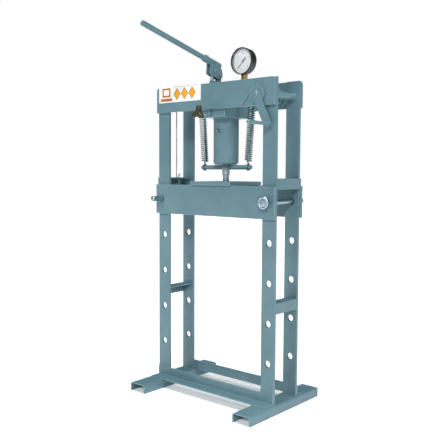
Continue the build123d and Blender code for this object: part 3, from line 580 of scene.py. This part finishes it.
# ---------------------------------------------------------------- ram and spring bar
# The ram is ground and polished, stepped to a nose that takes pressing tools. A round bar on a boss
# carries the lower hooks of the return springs, and it is painted.
ground_steel = metal("ground_steel", (0.46, 0.56, 0.61), (0.33, 0.43, 0.48), 0.37, 0.08,
                     stretch=(1, 1, 14))
lathe("ram_rod", [(856, 0), (856, 10.5), (857.5, 12), (884, 12), (884, 13), (886, 15), (1062, 15),
                  (1062, 10), (1096, 10), (1096, 0)],
      (0, 0, 0), (0, 0, 1), 0.3, ground_steel, "ram", ("ram",))
lathe("ram_piston", sleeve(1062, 1096, 10, 39.9), (0, 0, 0), (0, 0, 1), 0.8, ground_steel, "ram",
      ("piston",), steps=96)
spring_bar_height = 915
lathe("spring_bar_rod", [(-128, 0), (-128, 5), (-127, 7.4), (-125, 8.6), (-122, 9), (122, 9), (125, 8.6),
                         (127, 7.4), (128, 5), (128, 0)],
      (0, 0, spring_bar_height), (1, 0, 0), 0.4, enamel, "ram", ("spring_bar",), steps=40)
lathe("spring_bar_boss", sleeve(906, 924, 15, 23), (0, 0, 0), (0, 0, 1), 2.2, enamel, "ram")
bar_welds = new_bead_run("spring_bar_welds")
for side in (-1, 1):
    ring_bead(bar_welds, (side * 22.4, 0, spring_bar_height), (1, 0, 0), 8.5, 1.3)
close_bead_run(bar_welds, "ram", enamel)

# ---------------------------------------------------------------- return springs
# Tension springs wound from 5 mm wire, with a hook at each end: the lower one goes round the
# spring bar and the upper one round a hanger on the head block.
spring_steel = metal("spring_wire", (0.21, 0.31, 0.34), (0.09, 0.15, 0.17), 0.30, 0.10)
lathe("hanger_left", [(-140, 0), (-140, 4.5), (-138.5, 6), (-block_half_width, 6), (-block_half_width, 0)],
      (0, 0, hanger_height), (1, 0, 0), 0.3, enamel, "frame", ("spring_hangers",), steps=32)
lathe("hanger_right", [(block_half_width, 0), (block_half_width, 6), (138.5, 6), (140, 4.5), (140, 0)],
      (0, 0, hanger_height), (1, 0, 0), 0.3, enamel, "frame", steps=32)
coil_radius, wire_radius, coil_pitch = 13.0, 2.4, 8.2
coil_low, coil_high = Vector((112, 0, 937)), Vector((128, 0, 1149))
bar_hook, hanger_hook = 11.7, 8.7
steps_per_turn, hook_start_radius = 20, 0.35


def spring_path(side):
    """Points down the middle of one spring's wire, hooks and all, in millimetres."""
    low = Vector((side * coil_low.x, 0, coil_low.z))
    high = Vector((side * coil_high.x, 0, coil_high.z))
    along = (high - low).normalized()
    across = Vector((0, 1, 0))
    third = along.cross(across)
    path = []
    hook_centre = Vector((low.x, 0, spring_bar_height))
    for index in range(15):
        angle = math.radians(-60 + 300 * index / 14)
        path.append(hook_centre + Vector((0, -math.sin(angle) * bar_hook, -math.cos(angle) * bar_hook)))
    turns = (high - low).length / coil_pitch
    steps = int(turns * steps_per_turn)
    for index in range(steps + 1):
        share = index / steps
        angle = 2 * math.pi * turns * share
        from_end = share if share < 0.5 else 1 - share
        grow = min(1.0, hook_start_radius + from_end * turns / 0.5)
        path.append(low + (high - low) * share
                    + (third * math.cos(angle) + across * math.sin(angle)) * coil_radius * grow)
    top_centre = Vector((high.x + side * 0.5, 0, hanger_height))
    for index in range(13):
        angle = math.radians(-150 + 290 * index / 12)
        path.append(top_centre + Vector((0, math.sin(angle) * hanger_hook, math.cos(angle) * hanger_hook)))
    return path


def wire_piece(name, paths, radius, material, sides=2):
    """Round wire along each path, in millimetres, as one mesh."""
    holder = bpy.data.curves.new(name, "CURVE")
    holder.dimensions = "3D"
    holder.bevel_depth = radius / 1000
    holder.bevel_resolution = sides
    holder.use_fill_caps = True
    for path in paths:
        line = holder.splines.new("POLY")
        line.points.add(len(path) - 1)
        for point, spot in zip(line.points, path):
            point.co = (*(spot / 1000), 1)
    drawn = bpy.data.objects.new("drawn", holder)
    bpy.context.scene.collection.objects.link(drawn)
    bpy.context.view_layer.update()
    mesh = bpy.data.meshes.new_from_object(drawn)
    mesh.name = name
    bpy.data.objects.remove(drawn)
    mesh.materials.clear()
    mesh.materials.append(material)
    made = bpy.data.objects.new(name, mesh)
    bpy.context.scene.collection.objects.link(made)
    for face in mesh.polygons:
        face.use_smooth = True
    return made


for side, word in ((-1, "left"), (1, "right")):
    spring = wire_piece(f"spring_{word}", [spring_path(side)], wire_radius, spring_steel)
    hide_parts(f"return_spring_{word}")
    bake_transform(spring)

# ---------------------------------------------------------------- pump
# A small plunger pump stands on the head block: hexagonal base, slim barrel with a collar, a ground
# plunger, and the lug that carries the lever's fulcrum.
softened("pump_barrel", 0.0008, enamel)
softened("pump_plunger", 0.0006, ground_steel)
softened("fulcrum_lug", 0.0008, enamel)

# ---------------------------------------------------------------- lever and handle
# Two cut plates are welded under a short socket, and a plain tube slides into the socket, held by a
# hexagon screw. Headed pins with spring clips join the lever to the lug and to the plunger.
softened("lever_cheeks", 0.0009, enamel)
softened("lever_socket", 0.0007, enamel)
softened("pump_handle", 0.0006, enamel)
softened("handle_screw", 0.0005, zinc)
for node in ("fulcrum_pin", "crosshead_pin"):
    softened(node, 0.0006, zinc)
lever_welds = new_bead_run("lever_welds")
for offset in (-9.2, 9.2):
    bead(lever_welds, (-22 + offset, -78, 1312), (-22 + offset, -30, 1300.4), 2.0)
close_bead_run(lever_welds, "lever", enamel)

# ---------------------------------------------------------------- release valve
# A hexagonal gland, a plain stem and a moulded three-lobed knob.
softened("valve_gland", 0.0006, enamel)
softened("valve_stem", 0.0006, ground_steel)
knob_paint = Paint("moulded_olive")
moulding_swirl = knob_paint.noise(60.0, detail=3.0)
pitting = knob_paint.noise(900.0)
moulded_olive = knob_paint.finish(
    Base_Color=knob_paint.mix(moulding_swirl.step(0.3, 0.7), tone(0.018, 0.020, 0.007),
                              tone(0.046, 0.046, 0.016)),
    Roughness=0.42 + moulding_swirl * 0.14,
    Normal=knob_paint.bump(pitting + moulding_swirl, 0.12, 0.0004))
knob_centre = Vector((-15, -158, 1119))
knob_waist, lobe_reach, knob_thickness = 11.8, 18.2, 0.019
first_lobe = math.radians(80)
knob_shape = bmesh.new()
bmesh.ops.create_circle(knob_shape, cap_ends=True, segments=108, radius=0.001,
                        matrix=Matrix.Rotation(math.radians(90), 4, "X"))
for vertex in knob_shape.verts:
    angle = math.atan2(vertex.co.z, vertex.co.x)
    lobe = 0.5 + 0.5 * math.cos(3 * (angle - first_lobe))
    reach = knob_waist + lobe_reach * lobe ** 1.5
    vertex.co = (math.cos(angle) * reach / 1000, 0, math.sin(angle) * reach / 1000)
pulled = bmesh.ops.extrude_face_region(knob_shape, geom=knob_shape.faces[:])
bmesh.ops.translate(knob_shape, vec=(0, knob_thickness, 0),
                    verts=[item for item in pulled["geom"] if isinstance(item, bmesh.types.BMVert)])
bmesh.ops.recalc_face_normals(knob_shape, faces=knob_shape.faces)
rims = [edge for edge in knob_shape.edges if edge.calc_face_angle(0) > math.radians(60)]
bmesh.ops.bevel(knob_shape, geom=rims, affect="EDGES", offset=0.0036, segments=4, profile=0.5,
                material=-1)
bmesh.ops.translate(knob_shape, vec=knob_centre / 1000, verts=knob_shape.verts)
piece("knob_lobes", knob_shape, moulded_olive, "release_valve", ("release_knob",))
stem_axis = (knob_centre.x, 0, knob_centre.z)
lathe("knob_collar", [(-140, 6), (-140, 12), (-132, 10.5), (-131, 10), (-131, 6)], stem_axis, (0, 1, 0),
      0.6, moulded_olive, "release_valve", steps=48)
lathe("knob_boss", [(-158.9, 0), (-158.9, 7), (-158.3, 9.5), (-156, 10.5), (-156, 0)], stem_axis,
      (0, 1, 0), 0.4, moulded_olive, "release_valve", steps=48)

# ---------------------------------------------------------------- pressure gauge
# A 100 mm dial gauge: brass hexagon adapter, black ribbed case, screwed bezel, printed dial, steel
# pointer and a flat glass.
brass = metal("turned_brass", (0.80, 0.51, 0.19), (0.60, 0.36, 0.12), 0.30, 0.03,
              stretch=(1, 1, 8), grain=120.0)
softened("gauge_adapter", 0.0009, brass)
lacquer = Paint("black_lacquer")
streak = lacquer.noise(40.0, detail=4.0)
black_lacquer = lacquer.finish(
    Base_Color=lacquer.mix(streak.step(0.3, 0.75), tone(0.010, 0.009, 0.009), tone(0.030, 0.026, 0.024)),
    Roughness=0.30 + streak * 0.18,
    Normal=lacquer.bump(lacquer.noise(500.0) + streak, 0.12, 0.0004))
gauge_axis = (48, 0, 1331)
gauge_centre = Vector(gauge_axis) / 1000
case_radius, case_front, case_depth, back_taper, dial_recess = 0.0505, 0.0329, 0.0325, 0.004, 0.012
rib_count, rib_valley = 90, 0.985
case_shape = bmesh.new()
bmesh.ops.create_circle(case_shape, cap_ends=True, segments=2 * rib_count, radius=case_radius,
                        matrix=Matrix.Rotation(math.radians(90), 4, "X"))
for index, vertex in enumerate(case_shape.verts):
    vertex.co *= 1.0 if index % 2 else rib_valley


def drawn_out(shape, face, distance, width):
    """Pulls one face along Y, scales it, and gives back the new face."""
    pulled = bmesh.ops.extrude_face_region(shape, geom=[face])
    grown = [item for item in pulled["geom"] if isinstance(item, bmesh.types.BMVert)]
    bmesh.ops.translate(shape, vec=(0, distance, 0), verts=grown)
    bmesh.ops.scale(shape, vec=(width, 1, width), verts=grown)
    return next(item for item in pulled["geom"] if isinstance(item, bmesh.types.BMFace))


case_shape.faces.ensure_lookup_table()
open_end = case_shape.faces[0]
back_end = drawn_out(case_shape, open_end, case_depth, 1.0)
drawn_out(case_shape, back_end, back_taper, 0.93)
inner_rim = drawn_out(case_shape, open_end, 0.0, 0.972)
drawn_out(case_shape, inner_rim, dial_recess, 1.0)
left_over = [face for face in case_shape.faces
             if len(face.verts) > 4 and face.calc_center_median().y < 0.001]
bmesh.ops.delete(case_shape, geom=left_over, context="FACES_ONLY")
bmesh.ops.recalc_face_normals(case_shape, faces=case_shape.faces)
bmesh.ops.translate(case_shape, vec=(gauge_centre.x, case_front, gauge_centre.z), verts=case_shape.verts)
piece("gauge_ribbed_case", case_shape, black_lacquer, "frame", ("gauge_case",))
lathe("gauge_rim", [(40.5, 50.6), (40.5, 52.5), (30.6, 52.5), (29, 51.8), (28.5, 50.6), (28.6, 49.6),
                    (30.4, 49), (32.5, 48.7), (33.5, 48.7), (33.5, 50.6), (40.5, 50.6)],
      gauge_axis, (0, 1, 0), 0.3, black_lacquer, "frame", ("gauge_bezel",), steps=96)
face_paint = Paint("dial_face")
face_tone = face_paint.noise(12.0)
dial_face = face_paint.finish(
    Base_Color=face_paint.mix(face_tone, tone(0.74, 0.76, 0.77), tone(0.86, 0.87, 0.87)),
    Roughness=0.42 + face_tone * 0.1,
    Normal=face_paint.bump(face_paint.noise(600.0), 0.05, 0.0002))
lathe("gauge_face", sleeve(43.5, 44.7, 2.1, 49.2), gauge_axis, (0, 1, 0), 0.2, dial_face, "frame",
      ("gauge_dial",), steps=96)
scale_start, scale_sweep, scale_outer = -135.0, 270.0, 42.5
print_depth, mark_count, numeral_reach = 0.0434, 40, 0.0315
dial_print = bmesh.new()
for index in range(mark_count + 1):
    turn = math.radians(scale_start + scale_sweep * index / mark_count)
    major = index % 5 == 0
    scale_inner, wide = (37.5, 0.7) if major else (40.0, 0.35)
    mark = (Matrix.Translation((gauge_centre.x, print_depth + 0.00003, gauge_centre.z))
            @ Matrix.Rotation(turn, 4, "Y")
            @ Matrix.Translation((0, 0, (scale_inner + scale_outer) / 2000))
            @ Matrix.Diagonal((wide / 1000, 0.0001, (scale_outer - scale_inner) / 1000, 1)))
    bmesh.ops.create_cube(dial_print, size=1.0, matrix=mark)
piece("dial_scale_marks", dial_print, grey_ink, "frame")
numerals = bmesh.new()
for index, word in enumerate(("0", "100", "200", "300", "400")):
    turn = math.radians(scale_start + scale_sweep * index / 4)
    writing = bpy.data.curves.new("numeral", "FONT")
    writing.body = word
    writing.size = 0.0062
    writing.align_x = "CENTER"
    writing.align_y = "CENTER"
    writing.extrude = 0.00004
    drawn = bpy.data.objects.new("numeral", writing)
    bpy.context.scene.collection.objects.link(drawn)
    bpy.context.view_layer.update()
    flat = bpy.data.meshes.new_from_object(drawn)
    bpy.data.objects.remove(drawn)
    spot = gauge_centre + Vector((math.sin(turn) * numeral_reach, print_depth,
                                  math.cos(turn) * numeral_reach))
    flat.transform(Matrix.Translation(spot) @ Matrix.Rotation(math.radians(90), 4, "X"))
    numerals.from_mesh(flat)
piece("dial_numerals", numerals, grey_ink, "frame")
softened("gauge_needle", 0.0002, black_lacquer)
pane = Paint("clear_glass")
smear = pane.noise(25.0, detail=3.0)
clear_glass = pane.finish(
    Base_Color=tone(0.92, 0.95, 0.96),
    Roughness=0.02 + smear * 0.04,
    Alpha=0.08 + smear * 0.05,
    Coat_Weight=1.0,
    Coat_Roughness=0.02)
lathe("gauge_glass", rod(32.6, 35.4, 49.0), gauge_axis, (0, 1, 0), 0.3, clear_glass, "frame",
      ("gauge_lens",), steps=96)

# ---------------------------------------------------------------- winch
# A flat crank with a plain grip turns the shaft, and a pawl on a plain pin holds the ratchet wheel
# behind the crank. The drum winds the rope that lifts the bed.
softened("crank_arm", 0.0009, enamel)
softened("ratchet_wheel", 0.0004, enamel)
softened("pawl", 0.0005, enamel)
softened("pawl_pin", 0.0004, zinc)
winch_x, sheave_x = 222, -250
winch_axis = (winch_x, 0, head_centre)
lathe("winch_spindle", [(-106.5, 0), (-106.5, 2.2), (-105.7, 2.8), (-106.5, 3.4), (-106.5, 9), (-105.5, 10),
                        (91, 10), (91, 14), (97, 14), (97, 10), (98, 10), (98.5, 9.2), (98.5, 0)],
      winch_axis, (0, 1, 0), 0.3, zinc, "winch", ("winch_shaft",), steps=48)
grip_low, grip_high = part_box("crank_grip")
grip_x, grip_z = 500 * (grip_low.x + grip_high.x), 500 * (grip_low.z + grip_high.z)
crank_front = -102.5
lathe("crank_handle", [(-213, 0), (-213, 3.5), (-212.2, 5.2), (-210, 6.5), (-102.7, 6.5), (-102.7, 5),
                       (-97, 5), (-96.5, 4.2), (-96.5, 0)],
      (grip_x, 0, grip_z), (0, 1, 0), 0.3, enamel, "winch", ("crank_grip",), steps=40)
winch_welds = new_bead_run("winch_welds")
ring_bead(winch_welds, (winch_x, crank_front, head_centre), (0, 1, 0), 10.2, 2.0)
ring_bead(winch_welds, (grip_x, crank_front, grip_z), (0, 1, 0), 6.7, 1.5)
close_bead_run(winch_welds, "winch", enamel)
lathe("drum_spool", [(-42, 10), (-42, 34), (-38, 34), (-38, 21.2), (14, 21.2), (14, 34), (18, 34), (18, 10),
                     (-42, 10)],
      winch_axis, (0, 1, 0), 0.6, enamel, "winch", ("rope_drum",))
lathe("sheave_wheel", [(-8, 12.6), (-8, 29), (-7, 30), (-5, 30), (-3.9, 28.6), (-3.6, 24), (-2.6, 22.2),
                       (0, 21.3), (2.6, 22.2), (3.6, 24), (3.9, 28.6), (5, 30), (7, 30), (8, 29),
                       (8, 12.6), (-8, 12.6)],
      (sheave_x, 0, head_centre), (0, 1, 0), 0.3, zinc, "sheave", ("rope_sheave",))

# ---------------------------------------------------------------- lifting rope
# Galvanised 5 mm wire rope of six laid strands. It leaves the drum, goes over the sheave, down
# through the bed's end angle, back up beside itself in a ferrule, and ends in a crimped tip.
rope_wire = metal("rope_wire", (0.50, 0.57, 0.60), (0.30, 0.36, 0.39), 0.36, 0.15, grain=900.0)
route = bpy.data.curves.new("rope_route", "CURVE")
route.dimensions = "3D"
route_line = route.splines.new("NURBS")
rope_turn_radius = 24
rope_top, rope_down_x, rope_back_x = head_centre + rope_turn_radius, sheave_x - rope_turn_radius, -262
route_points = [(winch_x, 10, rope_top), (-218, 1.1, rope_top), (rope_down_x, 0, rope_top),
                (rope_down_x, 0, 1146), (rope_down_x, 0, 854), (rope_down_x, 0, 838),
                (rope_back_x, 0, 838), (rope_back_x, 0, 854), (rope_back_x, 0, 874),
                (-261, 0, 881), (-255, 0, 887)]
route_line.points.add(len(route_points) - 1)
for point, spot in zip(route_line.points, route_points):
    point.co = (*(Vector(spot) / 1000), 1)
route_line.order_u = 3
route_line.use_endpoint_u = True
route_line.resolution_u = 24
route_holder = bpy.data.objects.new("rope_route", route)
bpy.context.scene.collection.objects.link(route_holder)
bpy.context.view_layer.update()
route_mesh = bpy.data.meshes.new_from_object(route_holder)
rope_path = [vertex.co * 1000 for vertex in route_mesh.vertices]
bpy.data.objects.remove(route_holder)


def laid_strands(path, rope_radius=2.5, strands=6, lay=34.0, steps_per_lay=12):
    """The strands of a laid rope round a path, each as a list of points."""
    lengths = [0.0]
    for first, second in zip(path, path[1:]):
        lengths.append(lengths[-1] + (second - first).length)
    count = int(lengths[-1] / lay * steps_per_lay)
    strand_radius = 0.87 * rope_radius / 2.5
    ride_radius = rope_radius - strand_radius
    runs = [[] for _ in range(strands)]
    across = (path[1] - path[0]).orthogonal().normalized()
    index = 0
    for step in range(count + 1):
        reach = lengths[-1] * step / count
        while index < len(path) - 2 and lengths[index + 1] < reach:
            index += 1
        share = (reach - lengths[index]) / max(1e-9, lengths[index + 1] - lengths[index])
        spot = path[index].lerp(path[index + 1], share)
        along = (path[index + 1] - path[index]).normalized()
        across = (across - along * across.dot(along)).normalized()
        third = along.cross(across)
        for number, run in enumerate(runs):
            angle = 2 * math.pi * (reach / lay + number / strands)
            run.append(spot + (across * math.cos(angle) + third * math.sin(angle)) * ride_radius)
    return runs, strand_radius


strand_runs, strand_radius = laid_strands(rope_path)
rope = wire_piece("rope_strands", strand_runs, strand_radius, rope_wire, sides=1)
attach(rope, "frame")
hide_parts("lifting_rope")
turns_on_drum, winding_steps, winding_width = 3.2, 200, 12.4
wound = []
for step in range(winding_steps + 1):
    share = step / winding_steps
    angle = 2 * math.pi * turns_on_drum * share
    wound.append(Vector((winch_x + rope_turn_radius * math.sin(angle), -6 + winding_width * share,
                         head_centre + rope_turn_radius * math.cos(angle))))
turn_runs, turn_radius = laid_strands(wound)
winding = wire_piece("rope_turns", turn_runs, turn_radius, rope_wire, sides=1)
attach(winding, "winch")
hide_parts("rope_winding")
softened("rope_clip", 0.0012, zinc)
lathe("rope_tip", [(-4, 0), (-4, 2.4), (-3.4, 2.9), (3.4, 2.9), (4, 2.4), (4, 0)], (-256.5, 0, 885.4),
      (0.65, 0, 0.76), 0.2, zinc, "frame", steps=24)

# ---------------------------------------------------------------- bed, press plates and pins
# Two 12 mm flats joined by end angles make the bed. Two loose plates lie on it, each cut with half
# of a round hole, and two ring-headed pins through the uprights carry it.
for plate in ("bed_plate_front", "bed_plate_rear", "bed_ends"):
    softened(plate, 0.0009, enamel)
for plate in ("press_plate_left", "press_plate_right"):
    softened(plate, 0.0011, enamel)
bed_welds = new_bead_run("bed_welds")
for side in (-1, 1):
    for front in (-1, 1):
        corner_x, corner_y = side * 301, front * 77.6
        bead(bed_welds, (corner_x, corner_y, 834), (corner_x, corner_y, 844), 2.2)
close_bead_run(bed_welds, "frame", enamel)


pin_height, pin_length, ring_radius, ring_wire = 786, 250, 0.019, 0.005


def ring_pin(word, body, centre_x, head_y, way):
    """A bed pin: a rod whose far end is tapered and whose head is a bent and welded ring."""
    toe = head_y + way * pin_length
    axis_at = (centre_x, 0, pin_height)
    profile = [(head_y, 0), (head_y, 11), (toe - way * 3.5, 11), (toe - way * 0.8, 8.6), (toe, 6.5),
               (toe, 0)]
    lathe(f"pin_rod_{word}", profile, axis_at, (0, 1, 0), 0.5, zinc, body,
          (f"bed_pin_{word}",), steps=48)
    quarter = Matrix.Rotation(math.radians(90), 4, "X")
    ring = bmesh.new()
    bmesh.ops.create_circle(ring, segments=20, radius=ring_wire, cap_ends=False,
                            matrix=Matrix.Translation((ring_radius, 0, 0)) @ quarter)
    bmesh.ops.spin(ring, geom=ring.verts[:] + ring.edges[:], cent=(0, 0, 0), axis=(0, 0, 1),
                   angle=2 * math.pi, steps=64, use_merge=True)
    bmesh.ops.remove_doubles(ring, verts=ring.verts, dist=1e-6)
    bmesh.ops.recalc_face_normals(ring, faces=ring.faces)
    ring_place = Matrix.Translation((centre_x / 1000, head_y / 1000, pin_height / 1000))
    bmesh.ops.transform(ring, verts=ring.verts, matrix=ring_place @ quarter)
    piece(f"pin_ring_{word}", ring, zinc, body)
    web = [(head_y - 3, 0), (head_y - 3, 12), (head_y - 2, 17), (head_y + 2, 17), (head_y + 3, 12),
           (head_y + 3, 0)]
    lathe(f"pin_web_{word}", web, axis_at, (0, 1, 0), 0.4, zinc, body, steps=48)


ring_pin("right", "pin_right", 270, -113, 1)
ring_pin("left", "pin_left", -270, 102, -1)

# ---------------------------------------------------------------- floor finish and the end
# A plain, almost white studio floor with a faint unevenness.
pale = Paint("pale_floor")
sweep_tone = pale.noise(1.5)
floor_mesh.materials.append(pale.finish(
    Base_Color=pale.mix(sweep_tone, tone(0.92, 0.92, 0.92), tone(0.95, 0.95, 0.95)),
    Roughness=0.75 + sweep_tone * 0.1,
    Emission_Color=tone(1.0, 1.0, 1.0),
    Emission_Strength=0.10))
